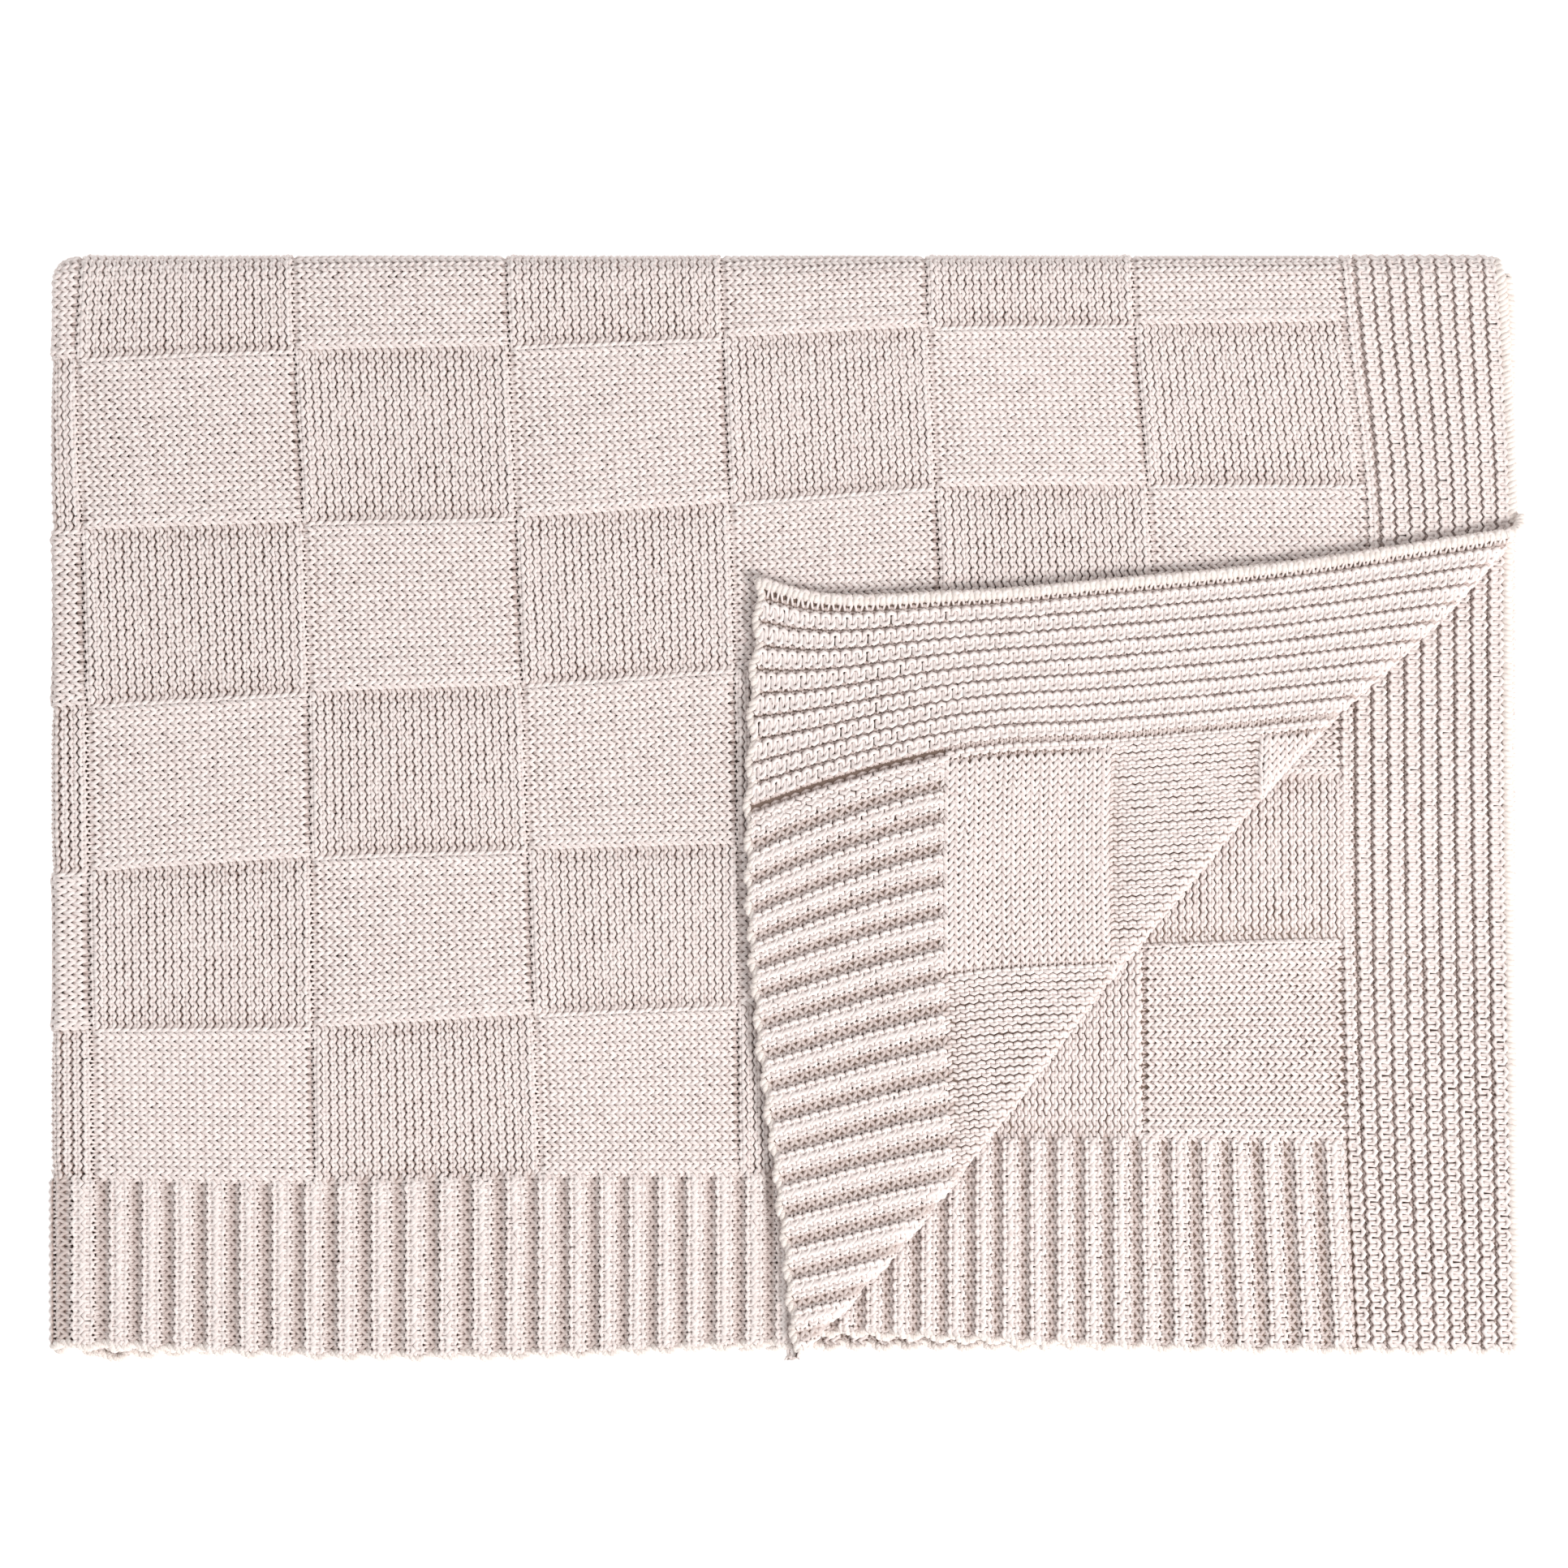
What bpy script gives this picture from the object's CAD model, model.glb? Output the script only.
"""Folded knitted throw: every course of the knitting is a real yarn tube, laid out on the panel's own
stitch lattice and then folded with it. Lattice positions are (course, wale): courses count from the
left fold, rising along the top ply to the whipped edge, and wales count up from the near hem. Shapes
are worked out in millimetres and written to the meshes in metres."""

import math

import bpy
import numpy as np
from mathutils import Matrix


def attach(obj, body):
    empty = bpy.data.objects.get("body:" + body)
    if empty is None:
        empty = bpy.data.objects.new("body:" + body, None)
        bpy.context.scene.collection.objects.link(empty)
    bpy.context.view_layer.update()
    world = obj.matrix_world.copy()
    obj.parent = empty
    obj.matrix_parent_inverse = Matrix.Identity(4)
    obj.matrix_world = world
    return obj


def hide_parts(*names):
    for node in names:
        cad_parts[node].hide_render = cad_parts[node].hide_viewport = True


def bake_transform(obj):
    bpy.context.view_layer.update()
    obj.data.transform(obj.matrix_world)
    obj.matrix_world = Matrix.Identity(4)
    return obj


MM = 0.001
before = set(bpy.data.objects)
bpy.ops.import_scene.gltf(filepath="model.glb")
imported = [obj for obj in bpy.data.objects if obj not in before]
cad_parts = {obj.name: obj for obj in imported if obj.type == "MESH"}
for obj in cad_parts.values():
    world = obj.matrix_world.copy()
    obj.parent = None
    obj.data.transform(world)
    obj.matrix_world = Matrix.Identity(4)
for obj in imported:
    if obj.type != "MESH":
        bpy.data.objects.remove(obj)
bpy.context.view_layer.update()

# ---------------------------------------------------------------- sizes, in mm

HALF_X, HALF_Y = 254.0, 190.5  # half the sides of the folded pile
FOLD_X = -250.8  # axis of the two left folds
FOLD_R = 2.25  # mid-cloth radius of a left fold, of the inner top fold and of the crease
TOP_Y, TOP_Z = 181.65, 8.85  # axis of the top fold, which is at the middle of the four plies
TOP_FACE = 2 * TOP_Z  # height of the top ply's face
PAIR = 4.5  # a pair's mid plane, above or below the top fold's axis
THIRD_MID, TOP_MID = TOP_Z + PAIR - FOLD_R, TOP_Z + PAIR + FOLD_R
CREASE_Z = TOP_MID + FOLD_R
CREASE_FOOT = np.array([8.0, -184.0])  # where the crease's hinge line starts, and which way it runs
CREASE_DIR = np.array([239.0, 275.0]) / math.hypot(239.0, 275.0)
CREASE_OUT = np.array([CREASE_DIR[1], -CREASE_DIR[0]])
CREASE_IN = 1.53  # how far the roll's axis lies inside the cloth's bowed edge
CORNERS = {-1: (11.0, 11.0), 1: (13.0, 27.0)}  # how far the left and right folded corners round off in plan
RAISE, RAISE_REACH = 0.6, 3.0  # how far the lowest cloth is raised off the surface, fading with height
END_CURL = {"top": 1.6, "third": 0.8}  # how far the last courses of a ply dip or rise
END_COURSES = 7  # over so many courses
FLAP_LIFT = 0.5  # how far the turned corner is raised off the top ply

WALE = 762 / 232  # a stitch of the flat panel, which is 232 wales wide and 391 courses long
YARN_R = 0.80
DEPTH = 0.8  # half the depth of the knitting
LOOP = {"field": 0.75, "welt": 0.85, "garter": 0.95}  # half the height of a loop, in courses
RIDGE = {"welt": 0.85, "garter": 0.35}  # how far the ridges of a border stand out, in mm
VALLEY = {"welt": 1.35, "garter": 0.7}  # how far the valleys between them sink, in mm
PLUMP = {"welt": 0.15, "garter": 0.24}  # how far a ridge spreads over its valleys, in courses
SPREAD = {1: 0.33, -1: 0.25}  # how far a loop's sides lean on its knit and purl faces, in wales
TURNED_SPREAD = 0.25  # and where a knit stitch stands on a purl one, or the other way about
PURL_LOOP, WELT_LOOP = 0.05, 0.12  # how much taller a field's purls and a welt's turned stitches are
PURL_THIN = 0.04  # how much thinner a field's purls are drawn
BLOCK_CURL = {"wale": (0.75, 1.6), "course": (0.5, 1.8)}  # height of a block's curled edges, and their reach
VALLEY_WIDTH = 0.6  # measured up a border's wave, which runs from -1 in a valley to 1 on a ridge
PRESSED = 0.6  # how much of all relief is pressed flat where the panel turns round its top fold
UNEVEN = (0.035, 0.03, 0.025, 0.05)  # in a stitch's wale, its height, its course and its thickness
DEEP_AT, DEEP_SPAN = 0.9, 2.3  # full shade is so far under the cloth's middle, full light so far over that
LAP = 0.07  # how far two pieces of one course overlap where it is cut, in wales
SHORTEST = 0.15  # a piece of a course has at least this many wales

BLOCK_C = 27  # courses in a block of the checks
BLOCK_W = 18  # wales in a block, and in a welt border
GARTER = 20  # courses in a garter border
C_TOP = 162  # the garter border starts here on the top ply
C_LOW = -189  # and here on the third ply
C_END = C_TOP + GARTER
C_START = C_LOW - GARTER
W_END = 232
LEFT_FOLD = -8  # courses below this one are under the top ply
LOWER_FOLD = (-12, 4)  # courses of the lower left fold
SEEN = -104  # the third ply shows past the crease below this one
CORNER_START, CREASE_START = 86, 74  # first courses of the turned corner and of its crease
TOP_HEM_END, CORNER_HEM_START = 91, 92  # the hem's chain turns over the crease between these courses
HEM_SEEN = 5.0  # wales of the bottom ply that are knitted along its hem, where they can be seen
BORDER_SEEN = 8  # and courses of its border
END = C_END - 0.2  # where the whipping lies at either end of the panel
START = C_START - 0.8
BACK_H = -1.3  # height in the cloth of the plain backing, where it has to lie low
LINING_H = 0.75  # and of the lining of a far side


# ---------------------------------------------------------------- curves and lattices


def ease(t):
    t = np.clip(t, 0.0, 1.0)
    return t * t * (3 - 2 * t)


def spline(xs, ys):
    """A smooth curve through hand-set points, straight beyond its ends. ys may have several columns."""
    xs, ys = np.asarray(xs, float), np.asarray(ys, float)
    slope = np.gradient(ys, xs, axis=0)

    def at(x):
        x = np.asarray(x, float)
        k = np.clip(np.searchsorted(xs, x, side="right") - 1, 0, len(xs) - 2)
        h = xs[k + 1] - xs[k]
        t = (x - xs[k]) / h
        q = np.clip(t, 0.0, 1.0)
        over = (t - q) * h
        if ys.ndim > 1:
            q, h, over = q[..., None], h[..., None], over[..., None]
        v = (2 * q**3 - 3 * q**2 + 1) * ys[k] + (3 * q**2 - 2 * q**3) * ys[k + 1]
        v = v + h * ((q**3 - 2 * q**2 + q) * slope[k] + (q**3 - q**2) * slope[k + 1])
        return v + over * np.where(over > 0, slope[k + 1], slope[k])

    return at


class Lattice:
    """Stitch positions (course, wale) to a flat position (along, up), from nodes at the block corners."""

    def __init__(self, courses, wales, nodes):
        self.c0, self.w0 = courses[0] - 4, wales[0] - 3
        c = np.arange(self.c0, courses[-1] + 5)
        w = np.arange(self.w0, wales[-1] + 4)
        per_wale = spline(wales, np.moveaxis(nodes, 1, 0).reshape(len(wales), -1))(w)
        per_wale = per_wale.reshape(len(w), len(courses), 2)
        table = spline(courses, np.moveaxis(per_wale, 1, 0).reshape(len(courses), -1))(c)
        self.table = table.reshape(len(c), len(w), 2)

    def at(self, c, w):
        fc = np.clip(c - self.c0, 0, self.table.shape[0] - 1.001)
        fw = np.clip(w - self.w0, 0, self.table.shape[1] - 1.001)
        i, j = fc.astype(int), fw.astype(int)
        u, v = (fc - i)[..., None], (fw - j)[..., None]
        t = self.table
        flat = (1 - u) * ((1 - v) * t[i, j] + v * t[i, j + 1])
        flat += u * ((1 - v) * t[i + 1, j] + v * t[i + 1, j + 1])
        return flat[..., 0], flat[..., 1]


def crossings(columns, rows, across, up):
    """Where each column curve meets each row curve, by a few passes to and fro."""
    out = np.zeros((len(columns), len(rows), 2))
    for a, xs in enumerate(columns):
        for b, ys in enumerate(rows):
            x = xs[1]
            for _ in range(4):
                y = float(spline(across, ys)(x))
                x = float(spline(up, xs)(np.clip(y, up[0], up[-1])))
            out[a, b] = x, y
    return out


# Top ply: X of the course lines at four places up the cloth, and Y of the wale lines at seven across.
TOP_UP = [-126, 84, 150, 188]
TOP_COLS = {
    0: [-236.6, -240.5, -243.2, -239.5],
    6: [-219.7, -223.5, -226.3, -223.8],
    27: [-160.5, -164, -167, -169],
    54: [-83, -90.5, -93, -95],
    81: [-14, -16.5, -19, -21],
    108: [58, 55, 52, 50],
    135: [131, 128.5, 124, 120.4],
    162: [200, 201, 197, 189],
    182: [250.5, 251.2, 249.5, 246],
}
TOP_ACROSS = [-240, -160, -90, -20, 55, 128, 200]
TOP_ROWS = {
    0: [-186.5, -190, -190, -186.8, -186, -186, -186],
    18: [-129.4, -130.2, -128.2, -127.7, -127.5, -127.5, -127.5],
    36: [-77.8, -77, -72.8, -70, -69.5, -69, -69],
    54: [-23.5, -18.2, -16, -14, -13, -11, -10],
    72: [34.2, 38.6, 41.2, 46.2, 49, 50, 51],
    90: [94.6, 97.4, 99, 104, 109.2, 110, 110],
    108: [154, 156.8, 158.2, 161, 164.6, 165.5, 166.6],
    126: [213, 216, 217, 220, 223, 224, 225],
    232: [575.6, 572, 570, 569, 569, 569, 569],
}
# Third ply, the one below, in the same way. Its courses count down from the left fold to its whipped edge.
THIRD_UP = [-188, -115, 25, 188]
THIRD_COLS = {
    -209: [249.8, 248.5, 246.5, 248],
    -189: [195.2, 191.8, 189.5, 191],
    -162: [121, 120.4, 120.4, 121],
    -135: [56, 56, 56, 56],
    -108: [-8, -8, -8, -8],
    -81: [-72, -72, -72, -72],
    -54: [-135, -135, -135, -135],
    -27: [-199, -199, -199, -199],
    -12: [-236.2, -236.2, -236.2, -236.2],
    -7: [-248.6, -248.6, -248.6, -248.6],
}
THIRD_ACROSS = [-240, -100, 20, 60, 120, 190, 250]
THIRD_ROWS = {
    0: [-186.5, -186.5, -182, -184.4, -187.2, -188.4, -188.6],
    18: [-129.4, -124, -117, -116, -115.5, -116, -117],
    36: [-77.8, -64, -51, -49.5, -48.5, -46.5, -46],
    54: [-23.5, -8, 7, 8.5, 9.5, 10, 10],
    72: [34.2, 48, 62, 64, 66, 67, 68],
    90: [94.6, 106, 118, 120, 122, 123, 124],
    108: [154, 164, 171, 173, 174, 175, 176],
    126: [213, 218, 224, 226, 228, 229, 229],
    232: [558, 558, 558, 558, 558, 558, 558],
}


def panel_lattice():
    wales = list(TOP_ROWS)
    top = crossings(list(TOP_COLS.values()), list(TOP_ROWS.values()), TOP_ACROSS, TOP_UP)
    low = crossings(list(THIRD_COLS.values()), list(THIRD_ROWS.values()), THIRD_ACROSS, THIRD_UP)
    low[..., 0] = 2 * FOLD_X - math.pi * FOLD_R - low[..., 0]
    courses = list(THIRD_COLS) + list(TOP_COLS)
    return Lattice(courses, wales, np.concatenate([low, top]))


# Turned corner: X of the wale lines at five heights, and Y of the course lines at five places across.
FLAP_UP = [-191, -82, 0, 53, 76]
FLAP_COLS = {
    0: [6, -8.8, -12.6, -12.2, -9],
    4: [19, 4.5, 1.2, 2, 5],
    18: [62, 54.5, 54.5, 55, 57],
    36: [122, 112, 112, 113, 117],
    54: [180, 170, 163, 166, 172],
    72: [238, 228, 216, 219, 225],
    90: [296, 286, 274, 276, 282],
}
FLAP_ACROSS = [-12, 3, 20, 56, 115, 175, 250]
FLAP_ROWS = {
    182: [78, 73, 71.8, 72, 76.6, 82.4, 94],
    162: [-2, 3.5, 9.5, 18, 22.6, 28, 36],
    135: [-74, -69.5, -65, -56, -51.8, -48, -42],
    108: [-149, -145, -141, -133, -128, -123, -117],
    81: [-223, -219, -215, -207, -201, -195, -190],
}


def flap_lattice():
    cols = list(FLAP_COLS.values())
    rows = [FLAP_ROWS[c] for c in sorted(FLAP_ROWS)]
    nodes = crossings(cols, rows, FLAP_ACROSS, FLAP_UP)
    return Lattice(sorted(FLAP_ROWS), list(FLAP_COLS), np.moveaxis(nodes, 0, 1))


panel = panel_lattice()
flap = flap_lattice()

# The crease bows a little off the straight line between its ends: distance along, and how far out.
BOW_AT = [0, 31, 96, 150, 210, 247, 283, 317, 346, 365]
BOW = [0.5, 1.8, 0.2, -3.2, -5, -5.6, -4.2, -0.6, 1.2, 0.8]
crease_bow = spline(BOW_AT, BOW)


def crease_side(x, y):
    """Along the crease, and distance past its roll's axis, which is positive on the outside."""
    dx, dy = x - CREASE_FOOT[0], y - CREASE_FOOT[1]
    along = dx * CREASE_DIR[0] + dy * CREASE_DIR[1]
    out = dx * CREASE_OUT[0] + dy * CREASE_OUT[1]
    return along, out - (crease_bow(along) - CREASE_IN)


# ---------------------------------------------------------------- folding


def swell(x, y):
    """The slow rise and fall of cloth that lies in a pile, in mm."""
    return (
        0.34 * np.sin(x / 31 + 0.6) * np.sin(y / 27 + 1.1)
        + 0.26 * np.sin((x + 0.6 * y) / 19 + 2.0)
        + 0.22 * np.sin((0.5 * x - y) / 14 + 0.4)
    )


def round_corner(x, y):
    """Rounds off the two far corners of the pile in plan."""
    for side, (rx, ry) in CORNERS.items():
        x0, y0 = HALF_X - rx, HALF_Y - ry
        u, v = (side * x - x0) / rx, (y - y0) / ry
        inside = (u > 0) & (v > 0)
        u, v = np.clip(u, 0, 1.1), np.clip(v, 0, 1.1)
        x = np.where(inside, side * (x0 + rx * u * np.sqrt(1 - v**2 / 2.2)), x)
        y = np.where(inside, y0 + ry * v * np.sqrt(1 - u**2 / 2.2), y)
    return x, y


def place_panel(c, w, h):
    """A stitch position and a height out of the cloth to a place on the folded pile, in mm."""
    s, y = panel.at(c, w)
    turn = np.clip((FOLD_X - s) / FOLD_R, 0, math.pi)
    past = np.maximum(FOLD_X - s - math.pi * FOLD_R, 0)
    x = np.maximum(s, FOLD_X) - (FOLD_R + h) * np.sin(turn) + past
    up = PAIR + (FOLD_R + h) * np.cos(turn)
    mid = PAIR + FOLD_R * np.cos(turn)
    over = np.clip((y - TOP_Y) / mid, 0, math.pi)
    beyond = np.maximum(y - TOP_Y - math.pi * mid, 0)
    y = np.minimum(y, TOP_Y) + up * np.sin(over) - beyond
    z = TOP_Z + up * np.cos(over)
    x, y = round_corner(x, y)
    curl = END_CURL["top"] * ease((c - C_END) / END_COURSES + 1)
    curl -= END_CURL["third"] * ease((C_START - c) / END_COURSES + 1)
    z = z + (swell(x, y) - curl) * np.clip(z / 12, 0.2, 1)
    return np.stack([x, y, z + RAISE * np.exp(-z / RAISE_REACH)], -1)


def place_flap(c, w, h):
    """The same for the turned corner, whose far side is up, and the roll that it hangs from."""
    x, y = flap.at(c, w)
    _, past = crease_side(x, y)
    h = h * (1 - 0.5 * ease((past + 4) / 5))
    turn = np.clip(past / FOLD_R, 0, math.pi)
    under = np.maximum(past - math.pi * FOLD_R, 0)
    shift = (FOLD_R - h) * np.sin(turn) - np.maximum(past, 0) - under
    x = x + CREASE_OUT[0] * shift
    y = y + CREASE_OUT[1] * shift
    z = CREASE_Z + (FOLD_R - h) * np.cos(turn)
    return np.stack([x, y, z + swell(x, y) + FLAP_LIFT], -1)


# ---------------------------------------------------------------- stitches


def stitch_types():
    """+1 where a stitch shows its knit face on the top ply's upper side, -1 where it is purled."""
    c = np.arange(C_START, C_END + 2)[:, None]
    w = np.arange(W_END)[None, :]
    kind = np.where((c // BLOCK_C + (w - BLOCK_W) // BLOCK_W) % 2 == 0, 1.0, -1.0)
    welt = (w < BLOCK_W) | (w >= W_END - BLOCK_W)
    kind = np.where(welt, np.where((c // 2) % 2 == 0, 1.0, -1.0), kind)
    garter = (c >= C_TOP) | (c < C_LOW)
    return np.where(garter, np.where(c % 2 == 0, 1.0, -1.0) + 0 * w, kind)


def relief_map(kind):
    """Knitting curls where its faces change: purls ride up along a course, knits along a wale."""
    c = np.arange(C_START, C_END + 2)[:, None]
    w = np.arange(W_END)[None, :]
    to_c = np.minimum(c % BLOCK_C, BLOCK_C - 1 - c % BLOCK_C) + 0 * w
    to_w = np.minimum(w % BLOCK_W, BLOCK_W - 1 - w % BLOCK_W) + 0 * c
    (w_curl, w_reach), (c_curl, c_reach) = BLOCK_CURL["wale"], BLOCK_CURL["course"]
    lift = kind * (w_curl * np.exp(-to_w / w_reach) - c_curl * np.exp(-to_c / c_reach))
    border = (w < BLOCK_W) | (w >= W_END - BLOCK_W) | (c >= C_TOP) | (c < C_LOW)
    return np.where(border, 0.0, lift)


kinds = stitch_types()
relief = relief_map(kinds)


def kind_at(c, w):
    return kinds[np.clip(c - C_START, 0, kinds.shape[0] - 1), np.clip(w, 0, W_END - 1)]


def relief_at(c, w, face=1):
    """How far the cloth's middle stands out at a place, seen from one face or the other."""
    fc = np.clip(c - C_START, 0, relief.shape[0] - 1.001)
    fw = np.clip(w - 0.5, 0, W_END - 1.001)
    i, j = fc.astype(int), fw.astype(int)
    u, v = fc - i, fw - j
    lift = (1 - u) * ((1 - v) * relief[i, j] + v * relief[i, j + 1])
    lift += u * ((1 - v) * relief[i + 1, j] + v * relief[i + 1, j + 1])
    in_garter, in_welt = border_share(c, w)
    waves = {"garter": np.cos(math.pi * (c - 0.5)), "welt": np.cos(math.pi * (c - 2) / 2)}
    for zone, share in (("garter", in_garter), ("welt", in_welt)):
        sunk = np.exp(-(((1 + face * waves[zone]) / VALLEY_WIDTH) ** 2))
        lift += face * share * (RIDGE[zone] - (RIDGE[zone] + VALLEY[zone]) * sunk)
    return lift * (1 - PRESSED * np.exp(-(((w - W_END / 2 - 1) / 6) ** 2)))


def border_share(c, w):
    """How far a place belongs to the garter and to the welt borders."""
    in_garter = np.clip((c - C_TOP) / 2, 0, 1) + np.clip((C_LOW - c) / 2, 0, 1)
    edge = np.clip(BLOCK_W + 0.5 - w, 0, 1) + np.clip(w - (W_END - BLOCK_W - 0.5), 0, 1)
    return in_garter, edge * (1 - in_garter)


def plumped(c, w, face):
    """The purl ridges of the borders bulge over the knit valleys between them."""
    in_garter, in_welt = border_share(c, w)
    c = c + face * PLUMP["garter"] * np.sin(math.pi * (c - 0.5)) * in_garter
    return c + face * PLUMP["welt"] * np.sin(math.pi * (c - 2) / 2) * in_welt


rng = np.random.default_rng(7)
WOBBLE = rng.normal(0, 1, (len(UNEVEN), C_END - C_START + 8, W_END + 8))


def wobble(n, i, u):
    """A small random value for each stitch of course i, eased from one to the next along the yarn."""
    row = WOBBLE[n, i - C_START]
    j = np.clip(u.astype(int), 0, W_END + 6)
    t = ease(u - j)
    return UNEVEN[n] * (row[j] * (1 - t) + row[np.minimum(j + 1, W_END + 7)] * t)


def course_line(i, w0, w1, steps, face):
    """The centre line of course i from wale w0 to w1: lattice places, heights, and yarn thickness. face is
    1 where the side that the types are written for is the one to be seen, or else -1."""
    first, last = math.ceil(w0 * steps + 0.01), math.floor(w1 * steps - 0.01)
    u = np.concatenate([[w0], np.arange(first, last + 1) / steps, [w1]])
    j = np.floor(u).astype(int)
    near = np.round(u).astype(int)
    at_foot = np.clip((u - near) / 0.5 + 0.5, 0, 1)
    at_foot = np.where(np.abs(u - near) < 0.25, at_foot, np.where(u > near, 1.0, 0.0))
    own = kind_at(i, near - 1) * (1 - at_foot) + kind_at(i, near) * at_foot
    head = kind_at(i + 1, j)
    rise = -np.cos(2 * math.pi * u)
    side = own + (head - own) * ease((rise + 0.6) / 1.2)
    lean = SPREAD[-1] + (SPREAD[1] - SPREAD[-1]) * (side * face + 1) / 2
    same = (own * head + 1) / 2
    lean = lean * same + TURNED_SPREAD * (1 - same)
    w = u + lean * np.sin(4 * math.pi * u) + wobble(0, i, u)
    in_garter, in_welt = border_share(np.full_like(w, i + 0.5), w)
    purl = (1 - side * face) / 2 * (1 - in_garter - in_welt)
    loop = LOOP["field"] + (LOOP["garter"] - LOOP["field"]) * in_garter
    loop += (LOOP["welt"] - LOOP["field"]) * in_welt
    loop += WELT_LOOP * in_welt * (1 - same) + PURL_LOOP * purl
    c = i + (loop + wobble(1, i, u)) * rise + wobble(2, i, u)
    lift = relief_at(c, w, face)
    turned = own + (head - own) * (1 + rise * np.abs(rise)) / 2
    h = same * own * -np.cos(4 * math.pi * u) - (1 - same) * turned
    thick = 1 + (1 - same) * (0.68 * rise**2 - 0.42) - PURL_THIN * purl * same + wobble(3, i, u)
    return u, plumped(c, w, face), w, DEPTH * h + lift, lift, thick


# ---------------------------------------------------------------- meshes


def tube(points, normals, radius, sides):
    """Rings of a tube along points, and the unit circle they follow."""
    along = np.gradient(points, axis=0)
    along /= np.linalg.norm(along, axis=1, keepdims=True) + 1e-9
    across = np.cross(along, normals)
    across /= np.linalg.norm(across, axis=1, keepdims=True) + 1e-9
    up = np.cross(across, along)
    turn = np.arange(sides) * 2 * math.pi / sides
    circle = np.stack([np.cos(turn), np.sin(turn)], -1)
    ring = circle[None, :, :1] * across[:, None] + circle[None, :, 1:] * up[:, None]
    return points[:, None] + ring * np.asarray(radius).reshape(-1, 1, 1), circle


class Strands:
    """Collects tubes and turns them into one mesh piece with an attribute for the yarn's twist."""

    def __init__(self):
        self.co, self.yarn, self.deep, self.quads, self.count = [], [], [], [], 0

    def add(self, rings, circle, length, deep=None):
        n, m = rings.shape[:2]
        self.co.append(rings.reshape(-1, 3))
        twist = np.zeros((n, m, 3))
        twist[..., :2] = circle[None]
        twist[..., 2] = length[:, None]
        self.yarn.append(twist.reshape(-1, 3))
        self.deep.append(np.ones(n * m) if deep is None else deep.ravel())
        a = self.count + np.arange(n - 1)[:, None] * m + np.arange(m)[None]
        b = self.count + np.arange(n - 1)[:, None] * m + (np.arange(m)[None] + 1) % m
        self.quads.append(np.stack([a, b, b + m, a + m], -1).reshape(-1, 4))
        self.count += n * m

    def piece(self, name, material, slot):
        yarn, deep = np.concatenate(self.yarn), np.concatenate(self.deep)
        return build(name, np.concatenate(self.co), np.concatenate(self.quads), material, yarn, deep)


def build(name, co, quads, material, yarn=None, deep=None):
    mesh = bpy.data.meshes.new(name)
    mesh.vertices.add(len(co))
    mesh.vertices.foreach_set("co", (co * MM).astype(np.float32).ravel())
    mesh.loops.add(quads.size)
    mesh.loops.foreach_set("vertex_index", quads.astype(np.int32).ravel())
    mesh.polygons.add(len(quads))
    mesh.polygons.foreach_set("loop_start", (np.arange(len(quads)) * 4).astype(np.int32))
    mesh.update(calc_edges=True)
    mesh.polygons.foreach_set("use_smooth", np.ones(len(quads), bool))
    if yarn is not None:
        layer = mesh.attributes.new("yarn", "FLOAT_VECTOR", "POINT")
        layer.data.foreach_set("vector", yarn.astype(np.float32).ravel())
        layer = mesh.attributes.new("deep", "FLOAT", "POINT")
        layer.data.foreach_set("value", deep.astype(np.float32))
    mesh.materials.append(material)
    obj = bpy.data.objects.new(name, mesh)
    bpy.context.collection.objects.link(obj)
    return obj


def facing(place, c, w, h):
    """Places on the pile and the cloth's own outward direction there."""
    p = place(c, w, h)
    n = place(c, w, h + 0.4) - p
    return p, n / (np.linalg.norm(n, axis=-1, keepdims=True) + 1e-9)


def knit(strands, place, i, w0, w1, steps, sides, face):
    """Adds course i between two wales to some strands, marked with how deep it lies under its own face."""
    if w1 - w0 < SHORTEST:
        return
    w0, w1 = max(w0 - LAP, 0.0), min(w1 + LAP, float(W_END))
    u, c, w, h, lift, thick = course_line(i, w0, w1, steps, face)
    p, n = facing(place, c, w, h)
    rings, circle = tube(p, n, YARN_R * thick, sides)
    level = (h - 0.1 * lift)[:, None] + YARN_R * circle[None, :, 1]
    upper = np.clip(0.5 + circle[None, :, 1], 0, 1)
    deep = np.clip((DEEP_AT + level) / DEEP_SPAN, 0, 1) * upper
    deep += np.clip((DEEP_AT - level) / DEEP_SPAN, 0, 1) * (1 - upper)
    strands.add(rings, circle, u * 2 * WALE, deep)


# ---------------------------------------------------------------- materials

CREAM, SHADE = (0.895, 0.83, 0.812), (0.81, 0.72, 0.7)  # the two ends of the heathered yarn's tint
EDGE_CREAM, EDGE_SHADE = (0.9, 0.835, 0.8), (0.78, 0.7, 0.66)
GAP = (0.42, 0.32, 0.28)  # what the cream is multiplied by deep between two loops
SHADOW = (0.2, 0.145, 0.12)
LINING = (0.6, 0.52, 0.48)


def node(tree, kind, **inputs):
    n = tree.nodes.new(kind)
    for key, value in inputs.items():
        n.inputs[key.replace("_", " ")].default_value = value
    return n


def math_node(tree, op, a, b=None):
    n = tree.nodes.new("ShaderNodeMath")
    n.operation = op
    for k, v in enumerate((a, b)):
        if v is None:
            continue
        if isinstance(v, (int, float)):
            n.inputs[k].default_value = v
        else:
            tree.links.new(v, n.inputs[k])
    return n.outputs[0]


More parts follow.
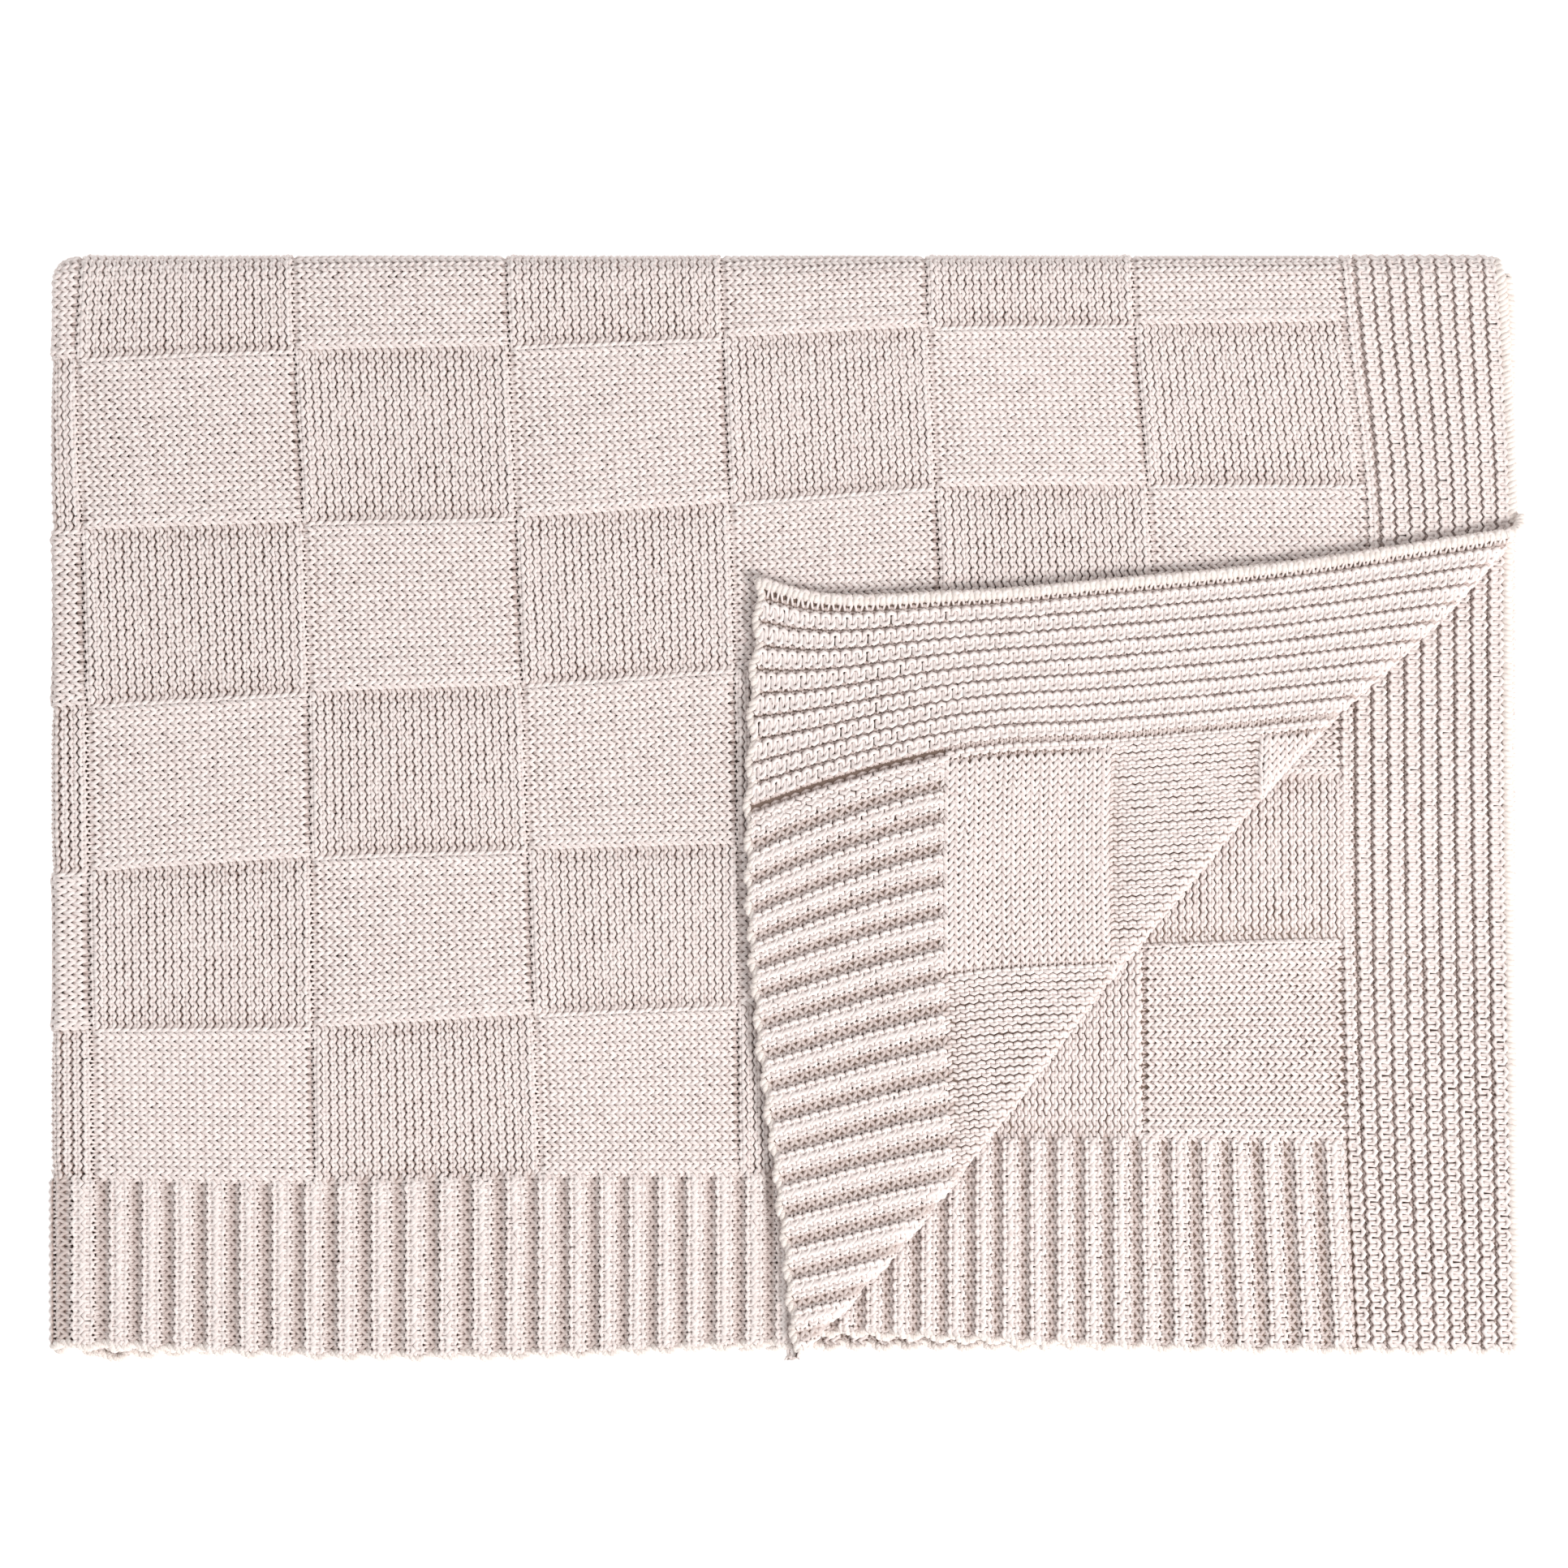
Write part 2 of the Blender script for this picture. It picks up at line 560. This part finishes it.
def ramp(tree, factor, low, high, blend="LINEAR"):
    """A colour that runs between two ends, each a position and a colour."""
    n = tree.nodes.new("ShaderNodeValToRGB")
    n.color_ramp.interpolation = blend
    for end, (position, colour) in zip(n.color_ramp.elements, (low, high)):
        end.position = position
        end.color = (*colour, 1)
    tree.links.new(factor, n.inputs[0])
    return n.outputs[0]


def yarn_material(name, base, dark, twist=0.35):
    """Soft two-ply yarn: a heathered cream, a fine twist and a little fuzz."""
    mat = bpy.data.materials.new(name)
    mat.use_nodes = True
    t = mat.node_tree
    shader = t.nodes["Principled BSDF"]
    shader.inputs["Base Color"].default_value = (*base, 1)
    shader.inputs["Roughness"].default_value = 0.92
    shader.inputs["Specular IOR Level"].default_value = 0.15
    shader.inputs["Sheen Weight"].default_value = 0.06
    shader.inputs["Sheen Roughness"].default_value = 0.6
    attr = t.nodes.new("ShaderNodeAttribute")
    attr.attribute_name = "yarn"
    split = t.nodes.new("ShaderNodeSeparateXYZ")
    t.links.new(attr.outputs["Vector"], split.inputs[0])
    angle = math_node(t, "ARCTAN2", split.outputs[1], split.outputs[0])
    run = math_node(t, "MULTIPLY", split.outputs[2], 3.6)
    phase = math_node(t, "ADD", math_node(t, "MULTIPLY", angle, 2.0), run)
    wave = math_node(t, "SINE", phase)
    where = t.nodes.new("ShaderNodeNewGeometry")
    fuzz = node(t, "ShaderNodeTexNoise", Scale=2600.0, Detail=2.0)
    tint = node(t, "ShaderNodeTexNoise", Scale=420.0, Detail=3.0)
    for n in (fuzz, tint):
        t.links.new(where.outputs["Position"], n.inputs["Vector"])
    height = math_node(t, "ADD", math_node(t, "MULTIPLY", wave, twist), fuzz.outputs[0])
    bump = node(t, "ShaderNodeBump", Strength=0.35, Distance=0.0003)
    t.links.new(height, bump.inputs["Height"])
    t.links.new(bump.outputs[0], shader.inputs["Normal"])
    deep = t.nodes.new("ShaderNodeAttribute")
    deep.attribute_name = "deep"
    mix = t.nodes.new("ShaderNodeMix")
    mix.data_type = "RGBA"
    mix.blend_type = "MULTIPLY"
    mix.inputs["Factor"].default_value = 1.0
    t.links.new(ramp(t, tint.outputs[0], (0.3, dark), (0.68, base)), mix.inputs["A"])
    t.links.new(ramp(t, deep.outputs["Fac"], (0.0, GAP), (0.85, (1, 1, 1)), "EASE"), mix.inputs["B"])
    t.links.new(mix.outputs["Result"], shader.inputs["Base Color"])
    return mat


def plain_material(name, base):
    """The cloth behind the yarn: one shade, a little mottled."""
    mat = bpy.data.materials.new(name)
    mat.use_nodes = True
    t = mat.node_tree
    shader = t.nodes["Principled BSDF"]
    shader.inputs["Base Color"].default_value = (*base, 1)
    shader.inputs["Roughness"].default_value = 1.0
    shader.inputs["Specular IOR Level"].default_value = 0.0
    noise = node(t, "ShaderNodeTexNoise", Scale=900.0, Detail=2.0)
    where = t.nodes.new("ShaderNodeNewGeometry")
    t.links.new(where.outputs["Position"], noise.inputs["Vector"])
    low, high = ([v * share for v in base] for share in (0.75, 1.2))
    t.links.new(ramp(t, noise.outputs[0], (0.0, low), (1.0, high)), shader.inputs["Base Color"])
    return mat


yarn_knit = yarn_material("cream_yarn", CREAM, SHADE)
yarn_edge = yarn_material("cream_whipping", EDGE_CREAM, EDGE_SHADE, twist=0.6)
gap_cloth = plain_material("shadowed_yarn", SHADOW)
lining_cloth = plain_material("shaded_yarn", LINING)

SLOTS = {"field": "checker_knit", "welt": "welt_knit", "garter": "garter_knit"}


def zone_of(c, w):
    if c >= C_TOP or c < C_LOW:
        return "garter"
    return "welt" if w < BLOCK_W else "field"


# ---------------------------------------------------------------- where each course is cut


def up_course(lattice, i, last, count=1200):
    """Wales up course i, and where they lie on a flat lattice."""
    w = np.linspace(0, last, count)
    x, y = lattice.at(np.full_like(w, i), w)
    return w, x, y


def fold_start(i):
    """The wale at which course i meets the top fold, coming up the upper pair."""
    w, _, y = up_course(panel, i, W_END)
    return float(np.interp(TOP_Y, y, w))


def fold_end(i):
    """The wale at which course i comes out of the top fold, on the lower pair."""
    w, s, y = up_course(panel, i, W_END)
    turn = np.clip((FOLD_X - s) / FOLD_R, 0, math.pi)
    mid = PAIR + FOLD_R * np.cos(turn)
    return float(np.interp(0, y - TOP_Y - math.pi * mid, w))


def crease_reach(i):
    """The wale at which the top ply's course i leaves the roll of the crease, or 0 if it never meets it."""
    w, x, y = up_course(panel, i, 120)
    _, past = crease_side(x, y)
    outside = np.nonzero(past > 0)[0]
    return float(w[outside[-1]]) if len(outside) else 0.0


def flap_reach(i, extra=0.0):
    """The wale at which the turned corner's course i is so far past the axis of the crease's roll."""
    w, x, y = up_course(flap, i, 96)
    _, past = crease_side(x, y)
    inside = np.nonzero(past < extra)[0]
    return float(w[inside[-1]]) if len(inside) else 0.0


def third_seen(i):
    """How far up course i the third ply shows past the crease, and a little beyond."""
    w, x, y = up_course(panel, i, 120, 600)
    x = 2 * FOLD_X - math.pi * FOLD_R - x
    _, past = crease_side(x, y)
    if past[0] <= 0:
        return 0.0
    return min(float(math.ceil(np.interp(0, -past, w)) + 5), fold_start(i))


# The wales that each part of the throw has of course i.


def top_span(i):
    return crease_reach(i), fold_start(i)


def third_span(i):
    return 0.0, fold_start(i)


def third_seen_span(i):
    return 0.0, third_seen(i)


def third_under_span(i):
    return third_seen(i), fold_start(i)


def fold_span(i):
    return fold_start(i), fold_end(i)


def lower_span(i):
    return fold_end(i), float(W_END)


def hem_span(i):
    return W_END - HEM_SEEN, float(W_END)


def flap_span(i):
    return 0.0, flap_reach(i)


def roll_span(i):
    return flap_reach(i), flap_reach(i, math.pi * FOLD_R)


def bands(first, last, size):
    """Runs of courses, cut where the zones change."""
    edges = sorted({first, last, *range(first, last, size), *[c for c in (C_TOP, C_LOW) if first < c < last]})
    return list(zip(edges[:-1], edges[1:]))


def lay(prefix, place, courses, span, size, steps, sides, face=1):
    """Knits a region band by band, each band split into welt, field and garter pieces."""
    made = []
    for first, last in bands(*courses, size):
        sets = {}
        for i in range(first, last):
            w0, w1 = span(i)
            if w1 <= w0:
                continue
            for lo, hi in ((w0, min(w1, BLOCK_W)), (max(w0, BLOCK_W), w1)):
                if hi > lo:
                    zone = sets.setdefault(zone_of(i, lo), Strands())
                    knit(zone, place, i, lo, hi, steps, sides, face)
        for zone, strands in sets.items():
            if strands.count:
                made.append(strands.piece(f"{prefix}_{zone}_{first - C_START}", yarn_knit, SLOTS[zone]))
    return made


def sheet_piece(name, place, courses, span, h=0.0, cloth=gap_cloth):
    """A plain backing inside the knitting, which stops the eye at the bottom of a gap."""
    co, quads = [], []
    spans = [span(i) for i in range(courses[0], courses[1] + 1)]
    widest = max(w1 - w0 for w0, w1 in spans)
    rows = int(np.clip(widest / 3, 16, 40))
    for k, (w0, w1) in enumerate(spans):
        w = np.linspace(w0, w1, rows)
        c = np.full_like(w, courses[0] + k)
        co.append(place(c, w, h + 0.6 * relief_at(c, w)))
        if k:
            a = (k - 1) * rows + np.arange(rows - 1)
            quads.append(np.stack([a, a + 1, a + 1 + rows, a + rows], -1))
    return build(name, np.concatenate(co), np.concatenate(quads), cloth)


# ---------------------------------------------------------------- edges

EDGE_SIDES = 6  # of a tube of whipping or selvedge yarn


def strand(strands, path, radius):
    """A plain length of yarn along a path in mm."""
    along = np.gradient(path, axis=0)
    steep = np.abs(along[:, 2:]) > 0.8 * np.linalg.norm(along, axis=1, keepdims=True)
    helper = np.where(steep, [[1.0, 0, 0]], [[0, 0, 1.0]])
    rings, circle = tube(path, helper, radius, EDGE_SIDES)
    run = np.concatenate([[0], np.cumsum(np.linalg.norm(np.diff(path, axis=0), axis=1))])
    strands.add(rings, circle, run)


def wind(strands, path, normal, radius, pitch, yarn, per_turn=9, phase=0.0, loose=0.0, slant=0.0):
    """Yarn wound round a path: a helix that keeps to the path's own frame."""
    step = np.linalg.norm(np.diff(path, axis=0), axis=1)
    run = np.concatenate([[0], np.cumsum(step)])
    at = np.arange(0, run[-1], pitch / per_turn)
    p = np.stack([np.interp(at, run, path[:, k]) for k in range(3)], -1)
    n = np.stack([np.interp(at, run, normal[:, k]) for k in range(3)], -1)
    along = np.gradient(p, axis=0)
    along /= np.linalg.norm(along, axis=1, keepdims=True) + 1e-9
    side = np.cross(along, n)
    side /= np.linalg.norm(side, axis=1, keepdims=True) + 1e-9
    up = np.cross(side, along)
    turns = np.arange(0, run[-1] + pitch, pitch)
    noise = np.interp(at, turns, rng.normal(0, 1, len(turns)))
    turn = 2 * math.pi * at / pitch + phase + loose * noise
    outward = np.cos(turn)[:, None] * up + np.sin(turn)[:, None] * side
    coil = p + (radius * (1 + 0.08 * noise))[:, None] * outward
    coil += slant * (np.sin(turn) * (1 + 0.3 * noise))[:, None] * along
    rings, circle = tube(coil, outward, yarn, EDGE_SIDES)
    strands.add(rings, circle, at * 3)


def edge_path(place, c, w, h=0.0):
    """A path in mm through stitch positions, with the cloth's outward direction along it."""
    c, w, h = np.broadcast_arrays(np.asarray(c, float), np.asarray(w, float), np.asarray(h, float))
    return facing(place, c, w, h)


def whipped(name, place, c, w0, w1, fat=1.0):
    """The whipped edge: a fat soft thread wound closely over the end of the knitting."""
    w = np.linspace(w0, w1, int(abs(w1 - w0) * 6) + 8)
    path, normal = edge_path(place, c, w)
    strands = Strands()
    strand(strands, path, 1.75 * fat)
    wind(strands, path, normal, 1.25 * fat, 1.9, 1.0 * fat, loose=0.3, slant=0.5)
    return strands.piece(name, yarn_edge, "whipping_yarn")


def selvedge(name, place, c0, c1, w, sign=1):
    """The chain of edge stitches along a hem, drawn in where the welts are recessed."""
    c = np.linspace(c0, c1, int(abs(c1 - c0) * 3) + 4)
    draw_in = 0.26 * np.cos(math.pi * (c - 0.5) / 2) + 0.07 * np.sin(c * 0.61)
    lift = 0.6 * relief_at(c, np.full_like(c, abs(w - 0.5)))
    path, normal = edge_path(place, c, w + sign * (draw_in - 0.1), lift)
    strands = Strands()
    strand(strands, path, 1.0)
    for phase in (0.0, math.pi):
        wind(strands, path, normal, 0.72, 5.0, 0.92, per_turn=12, phase=phase, loose=0.25)
    return strands.piece(name, yarn_edge, "selvedge_yarn")


# ---------------------------------------------------------------- the plies

fine, plain, rough = (12, 5), (10, 5), (6, 4)  # points of a tube to each wale, and its sides
# The most courses that one piece of each part has.
PIECE_COURSES = {"top": 14, "third": 24, "under": 32, "second": 34, "corner": 24, "long": 200}

# Each part of the throw: how it is placed, its courses, and the wales it has of each.
TOP = (place_panel, (LEFT_FOLD, C_END), top_span)
THIRD = (place_panel, (C_START, LEFT_FOLD), third_span)
LOWER = (place_panel, (C_START, C_END), lower_span)
OUTER = (place_panel, (LEFT_FOLD, C_END), fold_span)
INNER = (place_panel, (C_START, LEFT_FOLD), fold_span)
CORNER = (place_flap, (CORNER_START, C_END), flap_span)
CREASE = (place_flap, (CREASE_START, C_END), roll_span)
THIRD_SEEN = (place_panel, (C_START, SEEN), third_seen_span)
THIRD_UNDER = (place_panel, (C_START, SEEN), third_under_span)
THIRD_LEFT = (place_panel, (SEEN, LEFT_FOLD), third_span)
SECOND = (place_panel, (C_START, LOWER_FOLD[0]), lower_span)
LOWER_LEFT = (place_panel, LOWER_FOLD, lower_span)
BOTTOM_HEM = (place_panel, (LOWER_FOLD[1], C_TOP), hem_span)
BOTTOM_BORDER = (place_panel, (C_END - BORDER_SEEN, C_END), lower_span)

top = lay("top_ply", *TOP, PIECE_COURSES["top"], *plain)
third = lay("third_ply", *THIRD_SEEN, PIECE_COURSES["third"], *plain, face=-1)
third += lay("third_ply_under", *THIRD_UNDER, PIECE_COURSES["under"], *rough)
third += lay("third_ply_left", *THIRD_LEFT, PIECE_COURSES["under"], *rough)
outer_fold = lay("outer_fold", *OUTER, PIECE_COURSES["long"], *plain)
inner_fold = lay("inner_fold", *INNER, PIECE_COURSES["long"], *rough)
second = lay("second_ply", *SECOND, PIECE_COURSES["second"], *rough)
second += lay("lower_left_fold", *LOWER_LEFT, PIECE_COURSES["second"], *rough)
second += lay("bottom_ply_hem", *BOTTOM_HEM, PIECE_COURSES["long"], *rough)
second += lay("bottom_ply_border", *BOTTOM_BORDER, PIECE_COURSES["long"], *rough)
corner = lay("corner", *CORNER, PIECE_COURSES["corner"], *fine, face=-1)
roll = lay("crease", *CREASE, PIECE_COURSES["long"], *fine, face=-1)

top_back = sheet_piece("top_ply_backing", *TOP, BACK_H)
third_back = sheet_piece("third_ply_backing", *THIRD)
lower_back = sheet_piece("lower_plies_backing", *LOWER)
corner_back = sheet_piece("corner_backing", *CORNER)
roll_back = sheet_piece("crease_backing", *CREASE)
outer_back = sheet_piece("outer_fold_backing", *OUTER, BACK_H)
inner_back = sheet_piece("inner_fold_backing", *INNER)

# The far sides of these three only show once a fold is opened, and a paler lining makes their gaps shallower.
corner.append(sheet_piece("corner_lining", *CORNER, LINING_H, lining_cloth))
roll.append(sheet_piece("crease_lining", *CREASE, LINING_H, lining_cloth))
third.append(sheet_piece("third_ply_lining", *THIRD, LINING_H, lining_cloth))

top += [
    whipped("top_ply_whipping", place_panel, END, crease_reach(C_END), fold_start(C_END)),
    selvedge("top_ply_selvedge_chain", place_panel, LEFT_FOLD, TOP_HEM_END, 0.0),
    top_back,
]
third += [
    whipped("third_ply_whipping", place_panel, START, 0.0, fold_start(C_START)),
    selvedge("third_ply_selvedge_chain", place_panel, C_START, LEFT_FOLD, 0.0),
    third_back,
]
second += [
    whipped("second_ply_whipping", place_panel, START, fold_end(C_START), W_END),
    selvedge("second_ply_selvedge_chain", place_panel, C_START, LEFT_FOLD, float(W_END), -1),
    whipped("bottom_ply_whipping", place_panel, END, fold_end(C_END), W_END, fat=0.8),
    selvedge("bottom_ply_selvedge_chain", place_panel, LEFT_FOLD, C_END, float(W_END), -1),
    lower_back,
]
corner += [
    whipped("corner_whipping", place_flap, END, *flap_span(C_END)),
    selvedge("corner_selvedge_chain", place_flap, CORNER_HEM_START, C_END, 0.0),
    corner_back,
]
outer_fold += [whipped("outer_fold_whipping", place_panel, END, *fold_span(C_END)), outer_back]
inner_fold += [whipped("inner_fold_whipping", place_panel, START, *fold_span(C_START)), inner_back]
roll += [whipped("crease_whipping", place_flap, END, *roll_span(C_END)), roll_back]

# ---------------------------------------------------------------- what moves with what

for pieces, body in ((top + third, "top_pair"), (second, "bottom_pair"), (corner, "turned_corner")):
    for piece in pieces:
        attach(piece, body)


def cross(pieces):
    """Cloth that crosses a joint: it is on one body up to a height and turns to the other by the next."""
    for piece in pieces:
        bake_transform(piece)


cross(outer_fold)
cross(inner_fold)
cross(roll)

# ---------------------------------------------------------------- sheets, and the CAD nodes they stand for


def declare(part):
    """Says that a backing is a sheet of so many stitches, with its yarn pieces on it."""
    _, courses, span = part
    spans = [max(w1 - w0, 0) for w0, w1 in map(span, range(*courses))]


declare(LOWER)
declare(INNER)
declare(OUTER)
declare(THIRD)
declare(TOP)
declare(CREASE)
declare(CORNER)

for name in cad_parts:
    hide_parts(name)

# ---------------------------------------------------------------- camera, light and floor

scene = bpy.context.scene
scene.view_settings.view_transform = "Standard"
scene.view_settings.look = "None"

VIEW_CENTRE = (-0.0011, 0.0067)  # in metres, as are the next two
VIEW_WIDTH = 0.541  # what the picture spans at the top ply's face
VIEW_HEIGHT = 2.5  # of the camera above that face
cam = bpy.data.cameras.new("camera")
cam.sensor_width = 36.0
cam.lens = 36.0 * VIEW_HEIGHT / VIEW_WIDTH
cam_obj = bpy.data.objects.new("camera", cam)
cam_obj.location = (*VIEW_CENTRE, VIEW_HEIGHT + TOP_FACE * MM)
bpy.context.collection.objects.link(cam_obj)
scene.camera = cam_obj

world = bpy.data.worlds.new("studio")
world.use_nodes = True
world.node_tree.nodes["Background"].inputs[0].default_value = (1.0, 0.985, 0.97, 1)
world.node_tree.nodes["Background"].inputs[1].default_value = 0.72
scene.world = world

KEY_PLACE = (1.6, -1.1, 2.0)
key_way = np.array(KEY_PLACE) / np.linalg.norm(KEY_PLACE)
key = bpy.data.lights.new("key", "AREA")
key.size = 0.9
key.energy = 56.0
key.color = (1, 0.99, 0.975)
key_obj = bpy.data.objects.new("key", key)
key_obj.location = KEY_PLACE
key_obj.rotation_euler = (math.acos(key_way[2]), 0, math.atan2(key_way[1], key_way[0]) + math.pi / 2)
bpy.context.collection.objects.link(key_obj)

floor_mesh = bpy.data.meshes.new("floor")
FAR = 6  # half a side of the floor, in metres
floor_mesh.from_pydata([(-FAR, -FAR, 0), (FAR, -FAR, 0), (FAR, FAR, 0), (-FAR, FAR, 0)], [], [(0, 1, 2, 3)])
floor = bpy.data.objects.new("floor", floor_mesh)
floor.location.z = -0.0005
bpy.context.collection.objects.link(floor)
white = bpy.data.materials.new("floor_white")
white.use_nodes = True
white_shader = white.node_tree.nodes["Principled BSDF"]
white_shader.inputs["Base Color"].default_value = (0.9, 0.9, 0.9, 1)
white_shader.inputs["Roughness"].default_value = 1.0
white_shader.inputs["Emission Color"].default_value = (1, 1, 1, 1)
white_shader.inputs["Emission Strength"].default_value = 0.55
floor_mesh.materials.append(white)
